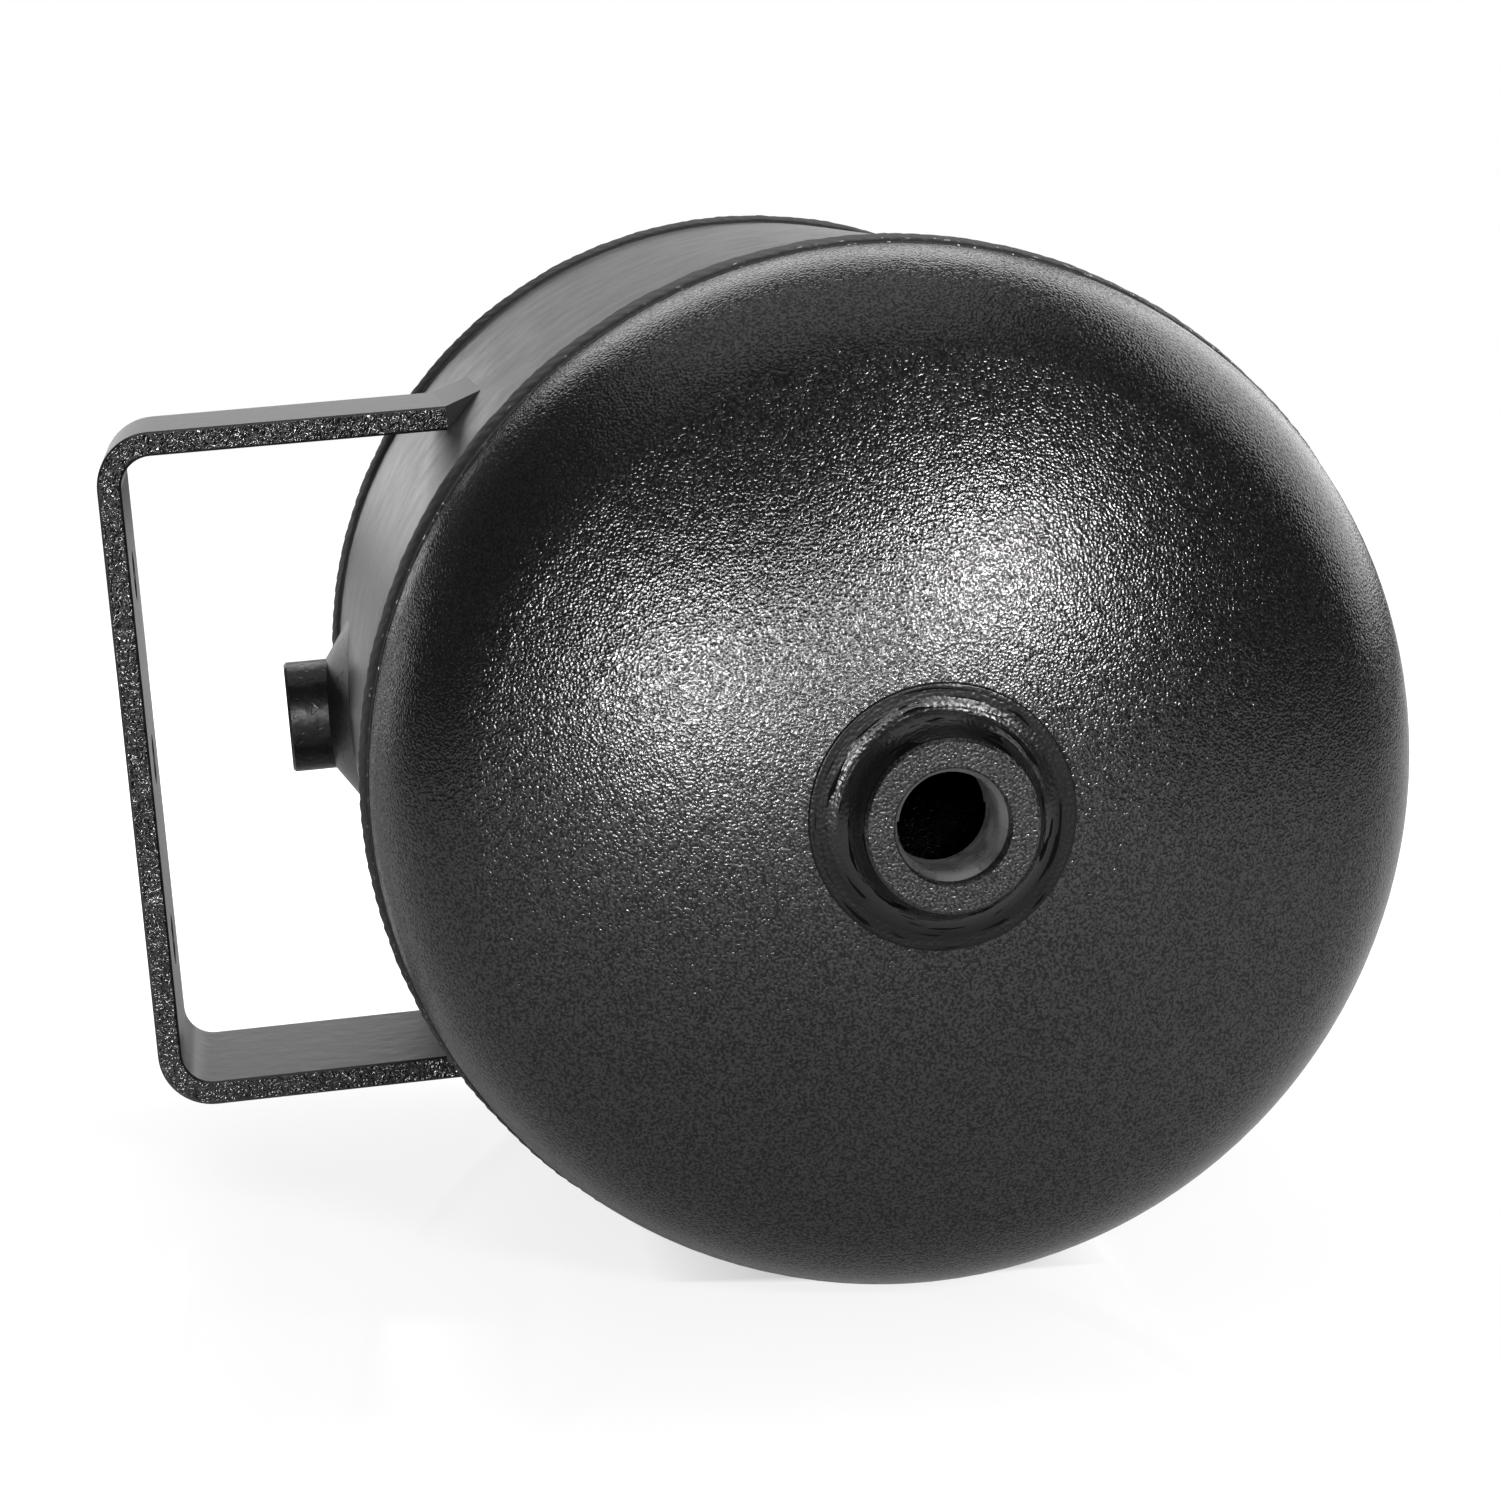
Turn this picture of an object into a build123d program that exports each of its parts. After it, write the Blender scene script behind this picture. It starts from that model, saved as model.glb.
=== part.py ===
from build123d import *
import math
import os

# Compressed-air reservoir of an air suspension: a welded steel tank with two
# dished heads, two threaded port bosses and a bent flat-bar mounting bracket.
# Millimetres, +Z up. The tank axis lies along Y, its ported head faces -Y and
# its bracket faces -X. The origin is the middle hole of the bracket, on the
# face that bolts against the vehicle.

# Tank: a rolled shell between two dished heads of the same outer diameter
SHELL_OD = 203.0
WALL = 3.0
GIRTH_SPACING = 186.0   # between the centres of the two girth welds
HEAD_FLANGE = 7.5       # straight part of a head, weld centre to dome
CROWN_RADIUS = 183.0    # outside radius of a head's shallow middle
KNUCKLE_RADIUS = 34.5   # outside radius where the dome turns into the flange

# Head joint: each head has a swaged lip that slips inside the shell
LIP_LENGTH = 14.0
LIP_CLEARANCE = 0.1     # radial, lip in shell
ROOT_GAP = 2.0          # groove width on the lip, between shell edge and head
GROOVE_BEVEL = 2.5      # how far the head's groove side leans back
SWAGE_LENGTH = 4.0      # inside slope from the lip to the head's own bore
GIRTH_CAP_WIDTH = 12.0
GIRTH_CAP_HEIGHT = 1.7

# Lengthwise seam of the rolled shell
SEAM_ANGLE = -55.0      # degrees about the tank axis, from +X toward +Z
SEAM_GAP = 2.0
SEAM_CAP_WIDTH = 7.0
SEAM_CAP_HEIGHT = 1.0

# Head port: a turned boss for a 1/2 inch pipe thread, on the tank axis
HEAD_BOSS_OD = 32.0
HEAD_BOSS_LENGTH = 20.0
HEAD_BOSS_STAND = 8.0   # face above the top of the dome
HEAD_THREAD_OD = 20.96
HEAD_MOUTH_CHAMFER = 0.4
HEAD_WELD_TOE = 8.6     # weld width on the dome, from the boss
HEAD_WELD_BELOW_FACE = 0.7
HEAD_WELD_HOLLOW = 0.9  # depth of the weld's concave face

# Side port: a smaller boss for a 3/8 inch pipe thread, beside the bracket web
SIDE_BOSS_OD = 25.0
SIDE_BOSS_LENGTH = 20.0
SIDE_BOSS_STAND = 13.5  # face above the shell
SIDE_BOSS_OFFSET = 40.0 # boss axis behind the middle of the tank
SIDE_THREAD_OD = 16.66
SIDE_MOUTH_CHAMFER = 0.6
SIDE_WELD_TOE = 8.5     # weld width on the shell, from the boss
SIDE_WELD_HEIGHT = 4.5  # weld height on the boss, above the shell

BOSS_CLEARANCE = 0.1    # radial, boss in its hole
BOSS_RIM_CHAMFER = 0.6

# Bracket: flat bar bent to a U, its two legs welded to the shell
BRACKET_REACH = 149.5   # tank axis to the bolting face
BRACKET_HEIGHT = 144.0  # over the outer faces of the legs
BAR_WIDTH = 45.0
BAR_THICKNESS = 5.0
BEND_INSIDE_RADIUS = 6.5
BAR_EDGE_BREAK = 0.5
BOLT_HOLE_D = 11.0
BOLT_HOLE_SPACING = 40.0
BOLT_HOLES = 3
LEG_WELD_RUN = 8.0      # how far the weld reaches along the shell past a leg

shell_r = SHELL_OD / 2
shell_bore_r = shell_r - WALL
lip_r = shell_bore_r - LIP_CLEARANCE
knuckle_r = shell_r - KNUCKLE_RADIUS
crown_set_back = math.sqrt((CROWN_RADIUS - KNUCKLE_RADIUS) ** 2 - knuckle_r**2)
dome_depth = CROWN_RADIUS - crown_set_back
girth_y = GIRTH_SPACING / 2
dome_y = -(girth_y + HEAD_FLANGE)
dome_top_y = dome_y - dome_depth
lip_end_y = -girth_y + LIP_LENGTH
head_face_y = dome_top_y - HEAD_BOSS_STAND
head_boss_r = HEAD_BOSS_OD / 2
side_boss_r = SIDE_BOSS_OD / 2
side_face_x = -(shell_r + SIDE_BOSS_STAND)
leg_inside_z = BRACKET_HEIGHT / 2 - BAR_THICKNESS
leg_end_x = -math.sqrt(shell_r**2 - leg_inside_z**2)


def along_y(radius, y_from, y_to):
    """A plain round bar on the tank axis."""
    return extrude(Plane.XZ.offset(-y_to) * Circle(radius), y_to - y_from)


def along_x(radius, x_from, x_to):
    """A plain round bar on the axis of the side port."""
    return extrude(Plane.YZ.offset(x_from) * Pos(SIDE_BOSS_OFFSET, 0) * Circle(radius), x_to - x_from)


def shell():
    """Rolled sheet, open at the seam gap and drilled for the side boss."""
    length = GIRTH_SPACING - ROOT_GAP
    tube = along_y(shell_r, -length / 2, length / 2) - along_y(shell_bore_r, -length / 2, length / 2)
    seam_slot = Rot(0, -SEAM_ANGLE, 0) * Pos(shell_r, 0, 0) * Box(4 * WALL, GIRTH_SPACING, SEAM_GAP)
    port_hole = along_x(side_boss_r + BOSS_CLEARANCE, side_face_x, 0)
    return tube - seam_slot - port_hole


def dished_curve(inset):
    """Crown and knuckle arcs of the front head, from the tank axis to the flange."""
    turn = math.degrees(math.atan2(-crown_set_back, knuckle_r))
    crown = CenterArc((0, dome_y + crown_set_back), CROWN_RADIUS - inset, -90, turn + 90)
    knuckle = CenterArc((knuckle_r, dome_y), KNUCKLE_RADIUS - inset, turn, -turn)
    return crown + knuckle


def head_outside():
    """The front head as if it were solid: dome, flange and the swaged lip."""
    shoulder_y = -girth_y - ROOT_GAP / 2
    dome = dished_curve(0)
    joint = Polyline(
        dome @ 1,
        (shell_r, shoulder_y - GROOVE_BEVEL),
        (lip_r, shoulder_y),
        (lip_r, lip_end_y),
        (0, lip_end_y),
        dome @ 0,
    )
    return revolve(make_face([dome, joint]), Axis.Y)


def head_inside():
    """The hollow of the front head, open at the lip."""
    dome = dished_curve(WALL)
    swage = Polyline(
        dome @ 1,
        (lip_r - WALL, dome_y + SWAGE_LENGTH),
        (lip_r - WALL, lip_end_y),
        (0, lip_end_y),
        dome @ 0,
    )
    return revolve(make_face([dome, swage]), Axis.Y)


def rear_head():
    """The same pressing as the front head, turned round and without a port."""
    return Rot(0, 0, 180) * (head_outside() - head_inside())


def front_head():
    """Dished head with the hole for the head boss."""
    return head_outside() - head_inside() - along_y(head_boss_r + BOSS_CLEARANCE, head_face_y, -girth_y)


def front_girth_weld():
    """Bead that fills the groove between head and shell and stands proud of both."""
    shell_edge_y = -girth_y + ROOT_GAP / 2
    shoulder_y = -girth_y - ROOT_GAP / 2
    middle_y = -girth_y
    half_cap = GIRTH_CAP_WIDTH / 2
    cap = ThreePointArc(
        (shell_r, middle_y - half_cap),
        (shell_r + GIRTH_CAP_HEIGHT, middle_y),
        (shell_r, middle_y + half_cap),
    )
    groove = Polyline(
        cap @ 1,
        (shell_r, shell_edge_y),
        (lip_r, shell_edge_y),
        (lip_r, shoulder_y),
        (shell_r, shoulder_y - GROOVE_BEVEL),
        cap @ 0,
    )
    return revolve(make_face([cap, groove]), Axis.Y)


def rear_girth_weld():
    """The same bead at the other end of the shell."""
    return Rot(0, 0, 180) * front_girth_weld()


def seam_weld():
    """Straight bead that closes the rolled shell, between the girth welds' caps."""
    length = GIRTH_SPACING - GIRTH_CAP_WIDTH
    half_cap = SEAM_CAP_WIDTH / 2
    foot_x = math.sqrt(shell_r**2 - half_cap**2)
    cap = ThreePointArc((foot_x, -half_cap), (shell_r + SEAM_CAP_HEIGHT, 0), (foot_x, half_cap))
    chord = Line(cap @ 1, cap @ 0)
    bead = extrude(Plane.XZ * make_face([cap, chord]), length / 2, both=True)
    bead -= along_y(shell_r, -length / 2, length / 2)
    filling = Pos(shell_r - WALL / 2, 0, 0) * Box(2 * WALL, GIRTH_SPACING - ROOT_GAP, SEAM_GAP)
    wall_ring = along_y(shell_r, -girth_y, girth_y) - along_y(shell_bore_r, -girth_y, girth_y)
    return Rot(0, -SEAM_ANGLE, 0) * (bead + (filling & wall_ring))


def turned_boss(diameter, length, thread_d, mouth_chamfer):
    """Boss on Z with its face at the top, bored through and chamfered at the mouth."""
    body = Cylinder(diameter / 2, length, align=(Align.CENTER, Align.CENTER, Align.MAX))
    rim = body.faces().sort_by(Axis.Z)[-1].edges()
    body = chamfer(rim, BOSS_RIM_CHAMFER)
    bore = Cylinder(thread_d / 2, length, align=(Align.CENTER, Align.CENTER, Align.MAX))
    body -= bore
    mouth = body.faces().sort_by(Axis.Z)[-1].inner_wires()[0].edges()
    return chamfer(mouth, mouth_chamfer)


def front_port_boss():
    """Boss on the tank axis, let into the front head."""
    boss = turned_boss(HEAD_BOSS_OD, HEAD_BOSS_LENGTH, HEAD_THREAD_OD, HEAD_MOUTH_CHAMFER)
    return Pos(0, head_face_y, 0) * Rot(90, 0, 0) * boss


def side_port_boss():
    """Boss let into the shell between the bracket's legs."""
    boss = turned_boss(SIDE_BOSS_OD, SIDE_BOSS_LENGTH, SIDE_THREAD_OD, SIDE_MOUTH_CHAMFER)
    return Pos(side_face_x, SIDE_BOSS_OFFSET, 0) * Rot(0, -90, 0) * boss


def front_port_weld():
    """Concave fillet from just under the boss face to the dome."""
    toe_r = head_boss_r + HEAD_WELD_TOE
    toe_y = dome_top_y + CROWN_RADIUS - math.sqrt(CROWN_RADIUS**2 - toe_r**2)
    edge_y = head_face_y + HEAD_WELD_BELOW_FACE
    height = toe_y - edge_y
    lean = math.hypot(HEAD_WELD_TOE, height)
    middle = (
        (head_boss_r + toe_r) / 2 - HEAD_WELD_HOLLOW * height / lean,
        (edge_y + toe_y) / 2 + HEAD_WELD_HOLLOW * HEAD_WELD_TOE / lean,
    )
    face = ThreePointArc((head_boss_r, edge_y), middle, (toe_r, toe_y))
    under = Polyline((toe_r, toe_y), (head_boss_r, toe_y), (head_boss_r, edge_y))
    return revolve(make_face([face, under]), Axis.Y) - head_outside()


def side_port_weld():
    """Weld whose edges on the shell and on the boss both follow the round of the shell."""
    joined = along_y(shell_r, -girth_y, girth_y) + along_x(side_boss_r, side_face_x, 0)
    corner = joined.edges().filter_by(GeomType.CIRCLE, reverse=True).filter_by(GeomType.LINE, reverse=True)
    boss_side = joined.faces().filter_by(GeomType.CYLINDER).sort_by(Axis.X)[0]
    return chamfer(corner, SIDE_WELD_HEIGHT, SIDE_WELD_TOE, reference=boss_side) - joined


def bracket_outline(inset):
    """U of the bent bar seen along the tank axis, moved in from its outer face."""
    top = BRACKET_HEIGHT / 2 - inset
    web_x = -BRACKET_REACH + inset
    box = make_face(Polyline((leg_end_x, -top), (web_x, -top), (web_x, top), (leg_end_x, top), close=True))
    web_corners = box.vertices().sort_by(Axis.X)[:2]
    return fillet(web_corners, BEND_INSIDE_RADIUS + BAR_THICKNESS - inset)


def bracket():
    """Flat bar bent to a U with square-cut leg ends and a row of bolt holes in its web."""
    section = bracket_outline(0) - bracket_outline(BAR_THICKNESS)
    bar = extrude(Plane.XZ * section, BAR_WIDTH / 2, both=True)
    side_faces = bar.faces().sort_by(Axis.Y)
    long_edges = [e for f in (side_faces[0], side_faces[-1]) for e in f.edges()
                  if e.bounding_box().size.X > BAR_THICKNESS or e.bounding_box().size.Z > BAR_THICKNESS]
    bar = chamfer(long_edges, BAR_EDGE_BREAK)
    drill = Plane.YZ.offset(-BRACKET_REACH - BAR_THICKNESS) * Circle(BOLT_HOLE_D / 2)
    for number in range(BOLT_HOLES):
        rise = (number - (BOLT_HOLES - 1) / 2) * BOLT_HOLE_SPACING
        bar -= Pos(0, 0, rise) * extrude(drill, 3 * BAR_THICKNESS)
    return bar


def upper_leg_weld():
    """Weld in the V between the square leg end and the shell, as wide as the bar."""
    corner_z = BRACKET_HEIGHT / 2
    root_angle = math.atan2(leg_inside_z, -leg_end_x)
    toe_angle = math.asin(corner_z / shell_r) + LEG_WELD_RUN / 2 / shell_r
    middle_angle = (root_angle + toe_angle) / 2
    root, middle, toe = (
        (-shell_r * math.cos(a), shell_r * math.sin(a)) for a in (root_angle, middle_angle, toe_angle)
    )
    contact = ThreePointArc(root, middle, toe)
    rest = Polyline(toe, (leg_end_x, corner_z), root)
    return extrude(Plane.XZ * make_face([contact, rest]), BAR_WIDTH / 2, both=True)


def lower_leg_weld():
    """The same weld at the lower leg."""
    return mirror(upper_leg_weld(), Plane.XY)


pieces = {
    "shell": shell(),
    "front_head": front_head(),
    "rear_head": rear_head(),
    "front_girth_weld": front_girth_weld(),
    "rear_girth_weld": rear_girth_weld(),
    "shell_seam_weld": seam_weld(),
    "front_port_boss": front_port_boss(),
    "front_port_weld": front_port_weld(),
    "side_port_boss": side_port_boss(),
    "side_port_weld": side_port_weld(),
    "mounting_bracket": bracket(),
    "upper_leg_weld": upper_leg_weld(),
    "lower_leg_weld": lower_leg_weld(),
}

os.makedirs("parts", exist_ok=True)
for name, piece in pieces.items():
    export_step(Pos(BRACKET_REACH, 0, 0) * piece, f"parts/{name}.step")
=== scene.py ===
import math
import bpy
from mathutils import Matrix, Vector


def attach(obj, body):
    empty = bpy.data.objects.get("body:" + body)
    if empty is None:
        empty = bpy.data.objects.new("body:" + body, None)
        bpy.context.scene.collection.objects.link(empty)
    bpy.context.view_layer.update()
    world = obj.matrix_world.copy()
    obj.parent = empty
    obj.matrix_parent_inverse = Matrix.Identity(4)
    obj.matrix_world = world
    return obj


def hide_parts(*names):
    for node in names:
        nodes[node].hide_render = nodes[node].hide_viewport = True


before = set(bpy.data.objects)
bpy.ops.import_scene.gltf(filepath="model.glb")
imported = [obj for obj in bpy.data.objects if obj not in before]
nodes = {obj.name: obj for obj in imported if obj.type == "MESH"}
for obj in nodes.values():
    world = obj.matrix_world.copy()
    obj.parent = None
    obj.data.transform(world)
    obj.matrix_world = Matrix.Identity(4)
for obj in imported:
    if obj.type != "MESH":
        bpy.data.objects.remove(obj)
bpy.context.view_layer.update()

bpy.ops.object.select_all(action="DESELECT")

# Places and sizes that the CAD sets. All lengths here are in metres.
TANK_AXIS_X = 0.1495
ON_TANK_AXIS = (TANK_AXIS_X, 0, 0)
SHELL_RADIUS = 0.1015
BEAD_RADIUS = 0.1032
GIRTH_Y = 0.093
BAR_EDGE = (0.0224, 0.02248)
HEAD_FACE_Y = -0.15897
SIDE_FACE_X = 0.0345
SIDE_PORT_Y = 0.040
BOSS_DEPTH = 0.020
HEAD_THREAD_R = 0.01048
SIDE_THREAD_R = 0.00833

# Parts of a noise's range over which a finish changes
WIDE = (0.3, 0.7)
NARROW = (0.36, 0.64)


# Finishes. Every pattern is fixed to the object.

def blank_finish(name):
    """An empty painted finish, its node tree and its shader."""
    finish = bpy.data.materials.new(name)
    finish.use_nodes = True
    tree = finish.node_tree
    return finish, tree, tree.nodes["Principled BSDF"]


def place(tree, centre=(0, 0, 0)):
    """Where a point is from a centre."""
    start = tree.nodes.new("ShaderNodeTexCoord")
    move = tree.nodes.new("ShaderNodeVectorMath")
    move.operation = "SUBTRACT"
    move.inputs[1].default_value = centre
    tree.links.new(start.outputs["Object"], move.inputs[0])
    return move.outputs["Vector"]


def number(tree, operation, value, other=0.0, third=0.0):
    """A sum on one, two or three values."""
    step = tree.nodes.new("ShaderNodeMath")
    step.operation = operation
    for socket, given in zip(step.inputs, (value, other, third)):
        if isinstance(given, (int, float)):
            socket.default_value = given
        else:
            tree.links.new(given, socket)
    return step.outputs[0]


def split(tree, where):
    """A place's three numbers."""
    parts = tree.nodes.new("ShaderNodeSeparateXYZ")
    tree.links.new(where, parts.inputs[0])
    return parts.outputs


def from_axis(tree, x, z):
    """Distance from the tank's axis."""
    squares = [number(tree, "MULTIPLY", side, side) for side in (x, z)]
    return number(tree, "SQRT", number(tree, "ADD", *squares))


def grain(tree, where, size, detail=0.0, warp=0.0):
    """Noise about as coarse as size."""
    noise = tree.nodes.new("ShaderNodeTexNoise")
    noise.inputs["Scale"].default_value = 1 / size
    noise.inputs["Detail"].default_value = detail
    noise.inputs["Distortion"].default_value = warp
    tree.links.new(where, noise.inputs["Vector"])
    return noise.outputs["Fac"]


def span(tree, value, low, high, from_low=0.0, from_high=1.0):
    """The value moved from one range to another."""
    scale = tree.nodes.new("ShaderNodeMapRange")
    scale.inputs["From Min"].default_value = from_low
    scale.inputs["From Max"].default_value = from_high
    scale.inputs["To Min"].default_value = low
    scale.inputs["To Max"].default_value = high
    tree.links.new(value, scale.inputs["Value"])
    return scale.outputs["Result"]


def relief(tree, height, depth, under=None):
    """A bump of this depth, over another one if given."""
    bump = tree.nodes.new("ShaderNodeBump")
    bump.inputs["Distance"].default_value = depth
    tree.links.new(height, bump.inputs["Height"])
    if under is not None:
        tree.links.new(under, bump.inputs["Normal"])
    return bump.outputs["Normal"]


def tint(tree, coat, value, dark, light):
    """Colour that drifts between two greys."""
    blend = tree.nodes.new("ShaderNodeMix")
    blend.data_type = "RGBA"
    blend.inputs["A"].default_value = (dark, dark, dark, 1)
    blend.inputs["B"].default_value = (light, light, light, 1)
    tree.links.new(value, blend.inputs["Factor"])
    tree.links.new(blend.outputs["Result"], coat.inputs["Base Color"])


def feed(tree, coat, normal, roughness, gloss=None):
    """Gives the shader its bump, its roughness and, where it varies, its gloss."""
    tree.links.new(normal, coat.inputs["Normal"])
    tree.links.new(roughness, coat.inputs["Roughness"])
    if gloss is not None:
        tree.links.new(gloss, coat.inputs["Specular IOR Level"])


def wrinkled_coat(name):
    """Powder coat with the short crossing wrinkles of a fine texture, and painted shade in their
    hollows.
    """
    wrinkle, wrinkle_depth = 0.0005, 0.00012
    swell, swell_depth = 0.004, 0.00008
    patch = 0.03
    finish, tree, coat = blank_finish(name)
    where = place(tree)
    ridges = grain(tree, where, wrinkle, warp=0.4)
    swells = relief(tree, grain(tree, where, swell, detail=1.0), swell_depth)
    feed(tree, coat,
         normal=relief(tree, ridges, wrinkle_depth, swells),
         roughness=span(tree, ridges, 0.15, 0.23, *WIDE),
         # The gloss drops in the wrinkles' hollows: painted shade in the creases.
         gloss=span(tree, ridges, 0.24, 0.68, *NARROW))
    tint(tree, coat, grain(tree, where, patch), dark=0.0018, light=0.003)
    return finish


def satin_coat(name, wave, wave_depth, gloss=0.5):
    """Smooth coat that flows out, with soft waves, fine orange peel and a few pits."""
    peel, peel_depth = 0.0007, 0.00001
    pit, pit_depth, few = 0.0016, 0.00004, (0.68, 0.74)
    patch = 0.02
    finish, tree, coat = blank_finish(name)
    where = place(tree)
    waves = grain(tree, where, wave, detail=1.0)
    peels = grain(tree, where, peel, warp=0.4)
    pits = span(tree, grain(tree, where, pit), 1, 0, *few)
    soft = relief(tree, waves, wave_depth)
    fine = relief(tree, peels, peel_depth, soft)
    feed(tree, coat,
         normal=relief(tree, pits, pit_depth, fine),
         roughness=span(tree, waves, 0.28, 0.33, *WIDE),
         gloss=span(tree, peels, gloss * 0.85, gloss * 1.15, *NARROW))
    tint(tree, coat, grain(tree, where, patch, detail=2.0), dark=0.003, light=0.006)
    return finish


def girth_weld_coat():
    """Dull coat over the laps of the weld, with a few glossy beads of paint along its toes."""
    crust, crust_depth = 0.0012, 0.0001
    drop, few = 0.0011, (0.69, 0.73)
    toe_band = (0.0045, 0.0055)
    finish, tree, coat = blank_finish("girth_weld_coat")
    where = place(tree)
    along = split(tree, where)[1]
    off_middle = number(tree, "SUBTRACT", number(tree, "ABSOLUTE", along), GIRTH_Y)
    toes = span(tree, off_middle, 0, 1, *toe_band)
    drops = number(tree, "MULTIPLY", grain(tree, where, drop), toes)
    crusts = grain(tree, where, crust, detail=2.0)
    feed(tree, coat,
         normal=relief(tree, crusts, crust_depth),
         roughness=span(tree, drops, 0.55, 0.2, *few),
         gloss=span(tree, drops, 0.13, 0.45, *few))
    tint(tree, coat, crusts, dark=0.006, light=0.018)
    return finish


def port_weld_coat():
    """Coat over a washed-in weld: lap lines run round the boss, with painted shade as dark strokes
    in their hollows and a darker band toward the toe.
    """
    lap, lap_depth = 0.0011, 0.00014
    lap_run = 0.0018  # sets how long a lap is, for each radian round the boss
    pit, pit_depth = 0.0007, 0.00009
    painted_shade_hollows = (0.37, 0.4)
    boss_to_toe = (0.0165, 0.0215)
    finish, tree, coat = blank_finish("port_weld_coat")
    x, _, z = split(tree, place(tree, ON_TANK_AXIS))
    out = from_axis(tree, x, z)
    spot = tree.nodes.new("ShaderNodeCombineXYZ")
    turned = number(tree, "ARCTAN2", z, x)
    tree.links.new(number(tree, "MULTIPLY", turned, lap_run), spot.inputs[0])
    tree.links.new(out, spot.inputs[1])
    laps = grain(tree, spot.outputs[0], lap, detail=2.0, warp=0.3)
    lines = relief(tree, laps, lap_depth)
    # Painted shade: the gloss is nil in the laps' hollows, which gives the dark strokes, and falls
    # from the boss toward the toe.
    strokes = span(tree, laps, 0, 1, *painted_shade_hollows)
    painted_toe_shade = span(tree, out, 0.75, 0.16, *boss_to_toe)
    feed(tree, coat,
         normal=relief(tree, grain(tree, place(tree), pit), pit_depth, lines),
         roughness=span(tree, laps, 0.2, 0.3, *WIDE),
         gloss=number(tree, "MULTIPLY", strokes, painted_toe_shade))
    tint(tree, coat, laps, dark=0.002, light=0.004)
    return finish


def bar_face(name):
    """The satin of the bar's rolled faces, and where its sheared edges are, from 0 to 1."""
    wave, wave_depth = 0.004, 0.0001
    patch = 0.01
    finish, tree, coat = blank_finish(name)
    where = place(tree)
    edge = span(tree, number(tree, "ABSOLUTE", split(tree, where)[1]), 0, 1, *BAR_EDGE)
    waves = relief(tree, grain(tree, where, wave, detail=2.0), wave_depth)
    tint(tree, coat, grain(tree, where, patch, detail=2.0), dark=0.003, light=0.006)
    return finish, tree, coat, where, edge, waves


def bracket_coat():
    """Satin on the bar's faces and glossy, worm-like wrinkles on its sheared edges."""
    worm, worm_depth, worm_width = 0.0016, 0.0005, 0.12
    pebble, pebble_depth = 0.0009, 0.0008
    face_gloss = 0.5
    finish, tree, coat, where, edge, waves = bar_face("bracket_coat")
    middle = number(tree, "SUBTRACT", grain(tree, where, worm, warp=1.0), 0.5)
    worms = span(tree, number(tree, "ABSOLUTE", middle), 1, 0, 0.0, worm_width)
    pebbles = relief(tree, grain(tree, where, pebble), pebble_depth)
    either = tree.nodes.new("ShaderNodeMix")
    either.data_type = "VECTOR"
    tree.links.new(edge, either.inputs["Factor"])
    tree.links.new(waves, either.inputs["A"])
    tree.links.new(relief(tree, worms, worm_depth, pebbles), either.inputs["B"])
    more = number(tree, "SUBTRACT", span(tree, worms, 0.7, 2.0), face_gloss)
    feed(tree, coat,
         normal=either.outputs["Result"],
         roughness=span(tree, edge, 0.3, 0.18),
         gloss=number(tree, "MULTIPLY_ADD", edge, more, face_gloss))
    return finish


def leg_weld_coat():
    """The bar's satin over the welds of its legs, rougher at the welds' ends and with painted
    shade there, where the gloss drops.
    """
    finish, tree, coat, _, edge, waves = bar_face("leg_weld_coat")
    feed(tree, coat,
         normal=waves,
         roughness=span(tree, edge, 0.3, 0.5),
         # Low gloss at the ends: painted shade on the welds' end faces.
         gloss=span(tree, edge, 0.5, 0.1))
    return finish


def cut_steel(name):
    """Machined steel under a thin film of coat."""
    film, film_depth = 0.004, 0.00003
    finish, tree, metal = blank_finish(name)
    metal.inputs["Metallic"].default_value = 0.9
    films = grain(tree, place(tree), film, detail=2.0)
    feed(tree, metal,
         normal=relief(tree, films, film_depth),
         roughness=span(tree, films, 0.22, 0.4, *WIDE))
    tint(tree, metal, films, dark=0.13, light=0.2)
    return finish


def dress(finish, *names):
    """Gives CAD nodes this finish."""
    for name in names:
        nodes[name].data.materials.clear()
        nodes[name].data.materials.append(finish)


dress(wrinkled_coat("dome_wrinkled_coat"), "front_head", "rear_head", "front_port_boss")
dress(satin_coat("shell_satin_coat", wave=0.009, wave_depth=0.00006),
      "shell", "side_port_weld", "shell_seam_weld")
dress(satin_coat("boss_satin_coat", wave=0.003, wave_depth=0.0002, gloss=0.3), "side_port_boss")
dress(bracket_coat(), "mounting_bracket")
dress(leg_weld_coat(), "upper_leg_weld", "lower_leg_weld")


# Steps that all pieces share

def settle():
    """Moves the active piece's place, turn and size into its mesh."""
    bpy.ops.object.transform_apply(location=True, rotation=True, scale=True)


def close_shape():
    """Turns all faces of the edited piece outwards and leaves edit mode."""
    bpy.ops.mesh.select_all(action="SELECT")
    bpy.ops.mesh.normals_make_consistent(inside=False)
    bpy.ops.object.mode_set(mode="OBJECT")


# Threads of the two ports, as helical ridges on the bores' walls
HEAD_THREAD_PITCH = 0.001814
SIDE_THREAD_PITCH = 0.001411
THREAD_LENGTH = BOSS_DEPTH - 0.001
THREAD_STEPS = 48  # in each turn
TOOTH_FLATNESS = 0.6
HEAD_THREAD_MOUTH = (TANK_AXIS_X, HEAD_FACE_Y + 0.0006, 0)
SIDE_THREAD_MOUTH = (SIDE_FACE_X - 0.0002, SIDE_PORT_Y, 0)
OUT_OF_HEAD = (math.pi / 2, 0, 0)
OUT_OF_SIDE = (0, -math.pi / 2, 0)


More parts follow.
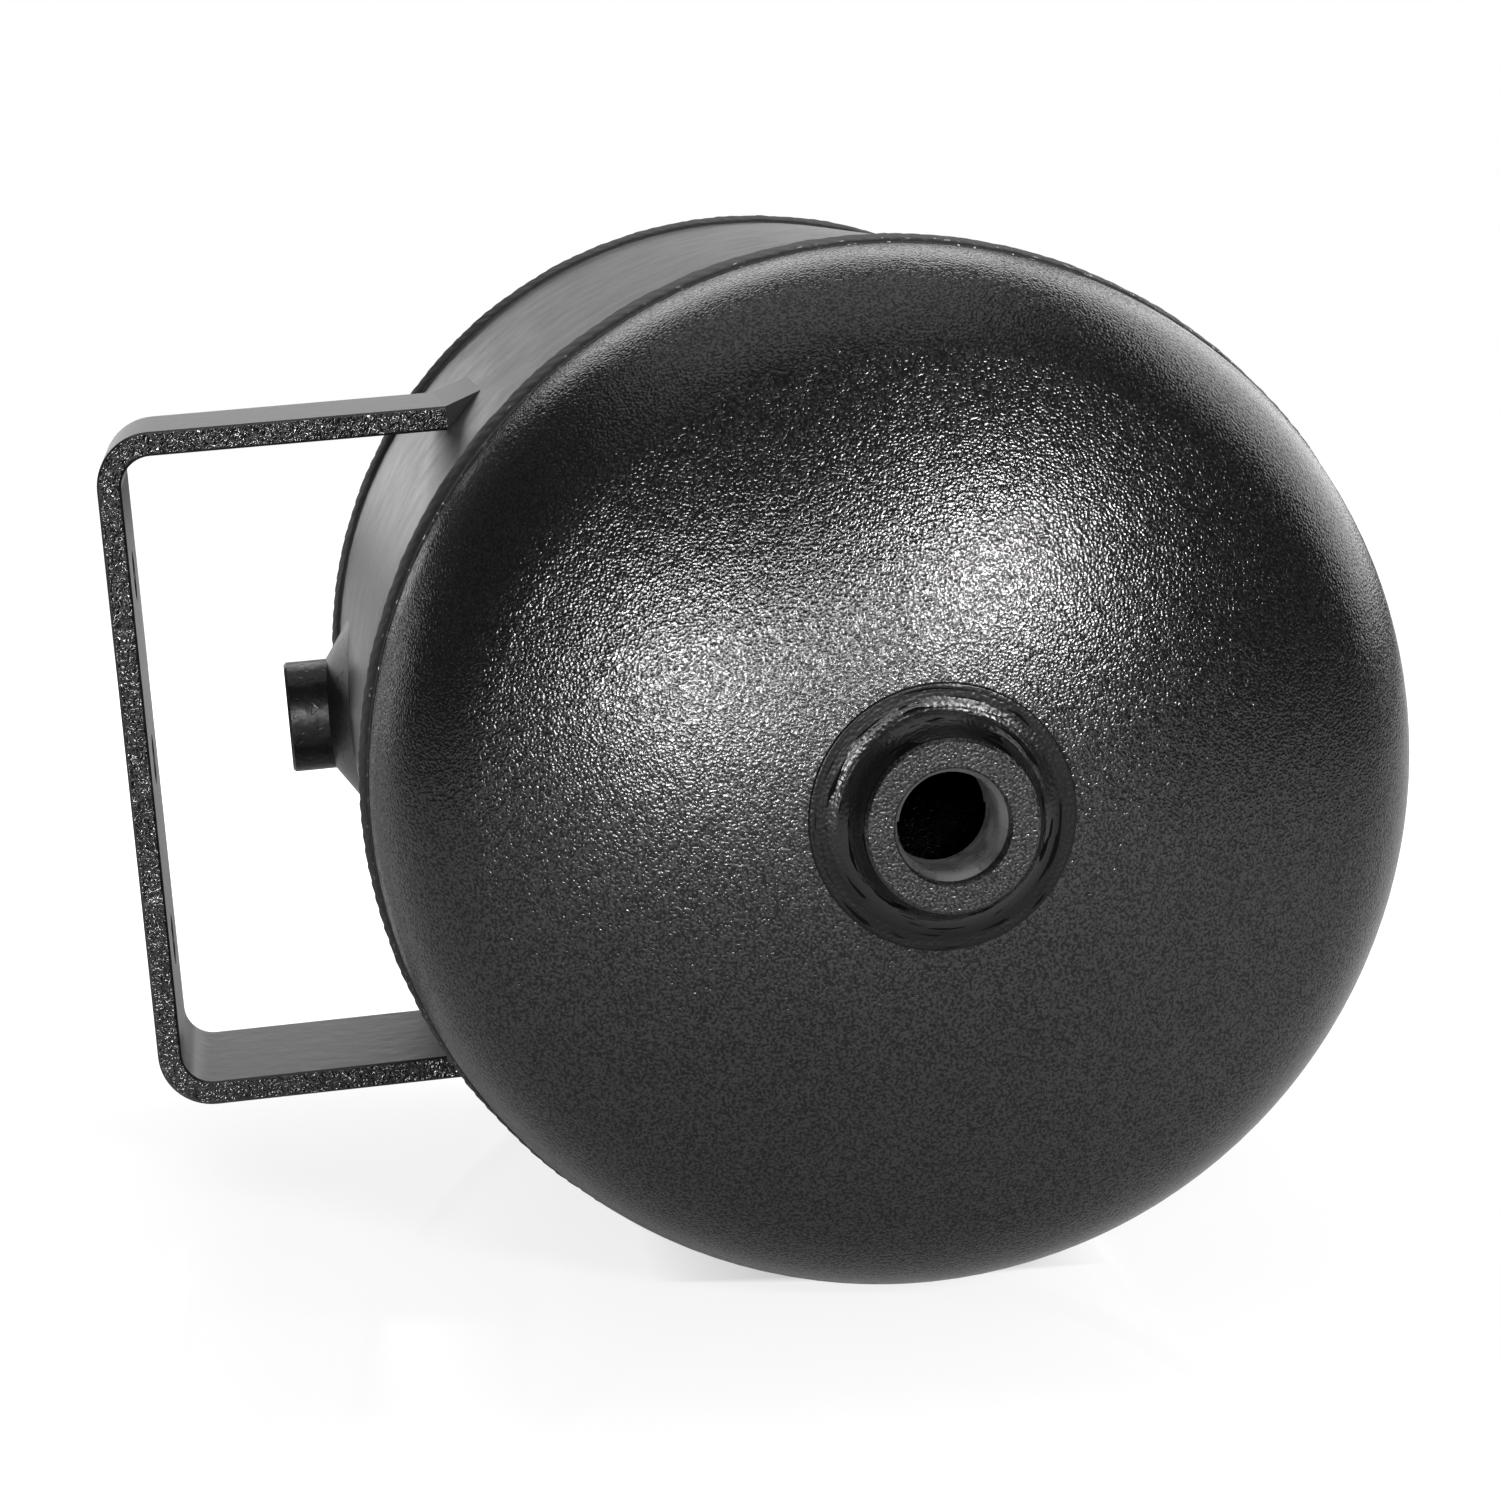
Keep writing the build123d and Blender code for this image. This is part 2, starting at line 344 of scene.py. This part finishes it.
def thread_ridge(name, bore_radius, pitch, turn, mouth):
    """A ridge that winds in from the mouth; turn points its axis out of the port."""
    corner = pitch / math.sqrt(3)
    turns = (THREAD_LENGTH - pitch) / pitch
    bpy.ops.mesh.primitive_circle_add(
        vertices=3, radius=corner, fill_type="NOTHING",
        location=(bore_radius - TOOTH_FLATNESS * corner / 2, 0, -THREAD_LENGTH),
        rotation=(math.pi / 2, -math.pi / 2, 0))
    thread = bpy.context.object
    thread.name = name
    thread.scale = (1, TOOTH_FLATNESS, 1)
    settle()
    screw = thread.modifiers.new("wind", "SCREW")
    screw.angle = 2 * math.pi * turns
    screw.screw_offset = turns * pitch
    screw.steps = screw.render_steps = int(THREAD_STEPS * turns)
    bpy.ops.object.modifier_apply(modifier="wind")
    bpy.ops.object.mode_set(mode="EDIT")
    bpy.ops.mesh.select_all(action="SELECT")
    bpy.ops.mesh.remove_doubles(threshold=0.000001)
    bpy.ops.mesh.select_all(action="DESELECT")
    bpy.ops.mesh.select_non_manifold()
    bpy.ops.mesh.fill()
    close_shape()
    thread.rotation_euler = turn
    thread.location = mouth
    settle()
    bpy.ops.object.shade_flat()
    thread.data.materials.append(thread_steel)
    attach(thread, "root")
    bpy.ops.object.select_all(action="DESELECT")


thread_steel = cut_steel("thread_steel")
thread_ridge("front_port_thread", HEAD_THREAD_R, HEAD_THREAD_PITCH, OUT_OF_HEAD, HEAD_THREAD_MOUTH)
thread_ridge("side_port_thread", SIDE_THREAD_R, SIDE_THREAD_PITCH, OUT_OF_SIDE, SIDE_THREAD_MOUTH)


# The weld round the head port: a low flat toe that sweeps up to the boss. Its rings go from
# the toe on the dome to the boss's side, each with its radius and its place along the tank.
WELD_RINGS = (
    (0.02475, -0.1486), (0.02475, -0.1494), (0.0246, -0.14975), (0.0243, -0.1499),
    (0.0233, -0.1499), (0.0222, -0.14998), (0.0211, -0.1502), (0.0200, -0.15055),
    (0.0190, -0.1511), (0.0181, -0.1521), (0.0173, -0.1536), (0.0167, -0.1555),
    (0.0158, -0.1580))
WELD_SIDES = 144


def washed_weld():
    """Draws the weld in, ring by ring, and smooths it."""
    radius, y = WELD_RINGS[0]
    bpy.ops.mesh.primitive_circle_add(
        vertices=WELD_SIDES, radius=radius, fill_type="NOTHING",
        location=(TANK_AXIS_X, y, 0), rotation=(math.pi / 2, 0, 0))
    weld = bpy.context.object
    weld.name = "front_port_washed_weld"
    bpy.ops.object.transform_apply(location=False, rotation=True, scale=True)
    bpy.ops.object.mode_set(mode="EDIT")
    bpy.ops.mesh.select_all(action="SELECT")
    for next_radius, next_y in WELD_RINGS[1:]:
        shrink = next_radius / radius
        bpy.ops.mesh.extrude_region_move(TRANSFORM_OT_translate={"value": (0, next_y - y, 0)})
        bpy.ops.transform.resize(value=(shrink, 1, shrink), center_override=ON_TANK_AXIS)
        radius, y = next_radius, next_y
    close_shape()
    smooth = weld.modifiers.new("smooth", "SUBSURF")
    smooth.levels = smooth.render_levels = 2
    bpy.ops.object.modifier_apply(modifier="smooth")
    settle()
    bpy.ops.object.shade_smooth()
    weld.data.materials.append(port_weld_coat())
    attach(weld, "root")
    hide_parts("front_port_weld")
    bpy.ops.object.select_all(action="DESELECT")


washed_weld()


# The girth welds: one slanted lap of the weld pool, repeated round the tank
BEAD_HALF_HEIGHT = 0.0016
BEAD_HALF_WIDTH = 0.0078
BEAD_SIDES = 28
LAPS = 200
LAP_ANGLE = 2 * math.pi / LAPS
LAP_LEAN = math.radians(28)
SINK, SINK_MORE = 0.94, 0.92
LAP_STEPS = ((0.45, SINK), (0.4, SINK_MORE), (0.15, 1 / (SINK * SINK_MORE)))
LUMP, LUMP_HEIGHT = 0.006, 0.0005


def rippled_bead(name, node):
    """A closed bead for the ported end. Its laps sink along their length and rise at the next."""
    bpy.ops.mesh.primitive_circle_add(
        vertices=BEAD_SIDES, radius=1, fill_type="NOTHING",
        location=(TANK_AXIS_X + SHELL_RADIUS, -GIRTH_Y, 0))
    bead = bpy.context.object
    bead.name = name
    bead.scale = (BEAD_HALF_HEIGHT, BEAD_HALF_WIDTH, 1)
    bpy.ops.object.transform_apply(location=False, rotation=False, scale=True)
    bead.rotation_euler = (LAP_LEAN, 0, 0)
    settle()
    bpy.ops.object.mode_set(mode="EDIT")
    bpy.ops.mesh.select_all(action="SELECT")
    axis = {"center": ON_TANK_AXIS, "axis": (0, 1, 0)}
    way = 0
    for part, height in LAP_STEPS:
        way += part * LAP_ANGLE
        middle = (TANK_AXIS_X + SHELL_RADIUS * math.cos(way), -GIRTH_Y, 0)
        bpy.ops.mesh.spin(steps=1, angle=part * LAP_ANGLE, **axis)
        bpy.ops.transform.resize(value=(height, 1, 1), center_override=middle)
    bpy.ops.mesh.select_all(action="SELECT")
    bpy.ops.mesh.spin(steps=LAPS - 1, angle=LAP_ANGLE * (LAPS - 1), dupli=True, **axis)
    bpy.ops.mesh.select_all(action="SELECT")
    bpy.ops.mesh.remove_doubles(threshold=0.00001)
    close_shape()
    lumps = bpy.data.textures.new("lumps", "CLOUDS")
    lumps.noise_scale = LUMP
    uneven = bead.modifiers.new("uneven", "DISPLACE")
    uneven.texture = lumps
    uneven.texture_coords = "LOCAL"
    uneven.strength = LUMP_HEIGHT
    bpy.ops.object.modifier_apply(modifier="uneven")
    bpy.ops.object.shade_smooth()
    bead.data.materials.append(girth_weld_coat())
    finish_bead(bead, node)
    return bead


def finish_bead(bead, node):
    """Puts a bead in its CAD weld's place."""
    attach(bead, "root")
    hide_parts(node)
    bpy.ops.object.select_all(action="DESELECT")


front_bead = rippled_bead("front_girth_bead", "front_girth_weld")
front_bead.select_set(True)
bpy.ops.object.duplicate(linked=False)
rear_bead = bpy.context.selected_objects[0]
rear_bead.name = "rear_girth_bead"
rear_bead.matrix_world = (Matrix.Translation(ON_TANK_AXIS) @ Matrix.Rotation(math.pi, 4, "Z")
                          @ Matrix.Translation((-TANK_AXIS_X, 0, 0)))
settle()
finish_bead(rear_bead, "rear_girth_weld")


def look_apart(tree, output, for_camera, for_others):
    """Shows the camera one shader and all other rays another."""
    ray = tree.nodes.new("ShaderNodeLightPath")
    either = tree.nodes.new("ShaderNodeMixShader")
    tree.links.new(ray.outputs["Is Camera Ray"], either.inputs[0])
    tree.links.new(for_others.outputs[0], either.inputs[1])
    tree.links.new(for_camera.outputs[0], either.inputs[2])
    tree.links.new(either.outputs[0], tree.nodes[output].inputs["Surface"])


# The tank rests on its two girth welds, rolled a little by the weight of its bracket
ROLL = math.radians(4.41)
FLOOR_WIDTH = 3.6
SHEET_GREY = 0.18
SHEET_ROUGHNESS = 0.08
PAPER_GREY = 0.65
# Painted contact shadow: how low the floor's glow for the camera drops at the beads, and the gap
# over which it comes back
PAINTED_CONTACT_SHADOW, CONTACT_GAP = 0.6, 0.01
NEAR_SHADE, NEAR, FAR = 0.81, 0.16, 0.3
PAST_WELDS = 2.0  # how much faster the gap grows in front of the welds and behind them


def white_acrylic():
    """A glossy white sheet; its glow for the camera has a painted shadow under the tank and fades
    to the backdrop.
    """
    sheet, tree, gloss = blank_finish("white_acrylic")
    gloss.inputs["Base Color"].default_value = (SHEET_GREY, SHEET_GREY, SHEET_GREY, 1)
    gloss.inputs["Roughness"].default_value = SHEET_ROUGHNESS
    x, along, z = split(tree, place(tree, ON_TANK_AXIS))
    out = from_axis(tree, x, z)
    off = number(tree, "ABSOLUTE", along)
    beyond = number(tree, "MAXIMUM", number(tree, "SUBTRACT", off, GIRTH_Y), 0.0)
    gap = number(tree, "ADD", number(tree, "SUBTRACT", out, BEAD_RADIUS),
                 number(tree, "MULTIPLY", beyond, PAST_WELDS))
    # The glow drops near the beads: a painted contact shadow.
    contact = span(tree, gap, PAINTED_CONTACT_SHADOW, 1, 0, CONTACT_GAP)
    fade = span(tree, number(tree, "MAXIMUM", out, off), NEAR_SHADE, 1, NEAR, FAR)
    lift = tree.nodes.new("ShaderNodeEmission")
    tree.links.new(number(tree, "MULTIPLY", contact, fade), lift.inputs["Strength"])
    lit = tree.nodes.new("ShaderNodeAddShader")
    tree.links.new(gloss.outputs[0], lit.inputs[0])
    tree.links.new(lift.outputs[0], lit.inputs[1])
    paper = tree.nodes.new("ShaderNodeBsdfDiffuse")
    paper.inputs["Color"].default_value = (PAPER_GREY, PAPER_GREY, PAPER_GREY, 1)
    look_apart(tree, "Material Output", for_camera=lit, for_others=paper)
    return sheet


bpy.ops.mesh.primitive_plane_add(size=FLOOR_WIDTH)
floor = bpy.context.object
floor.name = "floor"
floor.matrix_world = (Matrix.Translation(ON_TANK_AXIS) @ Matrix.Rotation(ROLL, 4, "Y")
                      @ Matrix.Translation((0, 0, -BEAD_RADIUS)))
settle()
floor.data.materials.append(white_acrylic())

# Lights, as seen from the dome: azimuth 0 is in front of it and 90 is on its right.
# The brightness is in times that of lit white paper.
LIT_SPOT = Vector((TANK_AXIS_X, -0.14, 0.03))
SOFT_BOXES = (
    # name, azimuth, elevation, distance, width, height, brightness
    ("right_soft_box", 22, 19, 1.6, 0.32, 0.26, 108),
    ("left_soft_box", -24, 9, 1.6, 0.32, 0.26, 78),
    ("strip_between", -1, 13, 1.7, 0.9, 0.14, 26),
    ("low_strip", 2, 2, 1.7, 0.9, 0.18, 5),
    ("rear_right_soft_box", 124, 22, 1.6, 1.8, 1.3, 2.2),
    ("rear_soft_box", 180, 36, 1.7, 1.2, 0.9, 2.1),
    ("rear_low_strip", -174, 4, 1.7, 1.9, 0.26, 1.45),
    ("rear_left_strip", -138, 5, 1.6, 0.8, 0.34, 1.1),
    ("ceiling_light", 0, 89, 1.5, 1.6, 1.6, 0.85))

for name, azimuth, elevation, distance, width, height, brightness in SOFT_BOXES:
    a, e = math.radians(azimuth), math.radians(elevation)
    back = Vector((math.sin(a) * math.cos(e), -math.cos(a) * math.cos(e), math.sin(e)))
    bpy.ops.object.light_add(type="AREA", location=LIT_SPOT + distance * back)
    lamp = bpy.context.object
    lamp.name = name
    lamp.data.shape = "RECTANGLE"
    lamp.data.size = width
    lamp.data.size_y = height
    lamp.data.energy = brightness * math.pi * width * height
    lamp.rotation_euler = back.to_track_quat("Z", "Y").to_euler()

# A dim white room, and a white backdrop for the camera
ROOM_BRIGHTNESS = 0.12
world = bpy.data.worlds.new("white_studio")
bpy.context.scene.world = world
world.use_nodes = True
room = world.node_tree.nodes["Background"]
backdrop = world.node_tree.nodes.new("ShaderNodeBackground")
for background, brightness in ((room, ROOM_BRIGHTNESS), (backdrop, 1)):
    background.inputs["Color"].default_value = (1, 1, 1, 1)
    background.inputs["Strength"].default_value = brightness
look_apart(world.node_tree, "World Output", for_camera=backdrop, for_others=room)

# Camera, fitted to the outlines of the welds, the dome, the ports and the bracket
CAMERA_PLACE = (0.0347, -0.7790, 0.1285)
CAMERA_YAW = math.radians(7.30)
CAMERA_PITCH = math.radians(10.07)
CAMERA_LENS = 86.64
CAMERA_CLIP = 0.01
bpy.ops.object.camera_add(location=CAMERA_PLACE)
camera = bpy.context.object
camera.name = "camera"
camera.data.lens = CAMERA_LENS
camera.data.clip_start = CAMERA_CLIP
turn = (Matrix.Rotation(-CAMERA_YAW, 4, "Z") @ Matrix.Rotation(math.pi / 2 - CAMERA_PITCH, 4, "X")
        @ Matrix.Rotation(-ROLL, 4, "Z"))
camera.rotation_euler = turn.to_euler()
bpy.context.scene.camera = camera
bpy.context.scene.view_settings.view_transform = "Standard"
